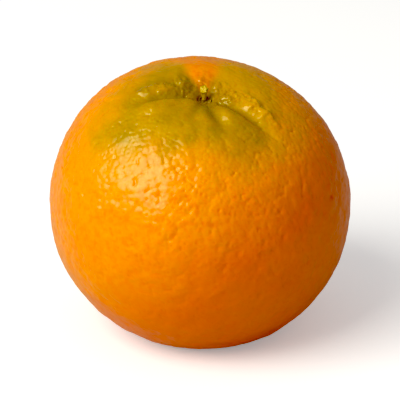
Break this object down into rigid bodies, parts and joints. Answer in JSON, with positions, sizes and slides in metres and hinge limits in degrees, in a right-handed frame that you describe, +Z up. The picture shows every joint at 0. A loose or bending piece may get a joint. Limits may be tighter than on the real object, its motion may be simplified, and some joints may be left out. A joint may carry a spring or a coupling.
{
  "type": "tangerine",
  "caption": "Whole ripe citrus fruit with a dimpled stem end, a small dried calyx and a short stem stub, lying on a small flat.",
  "frame": {"origin": "on the resting surface, under the middle of the fruit", "axes": "+Z up from the resting surface, along the shortest extent; the stem end leans forward, towards -Y"},
  "size_m": [0.07, 0.07, 0.0632],
  "materials": {
    "peel": "glossy pitted citrus peel",
    "calyx": "dull, dried",
    "stem": "dull, fibrous"
  },
  "bodies": {
    "root": {"fruit": "peel", "calyx": "calyx", "stem_stub": "stem"}
  },
  "joints": []
}
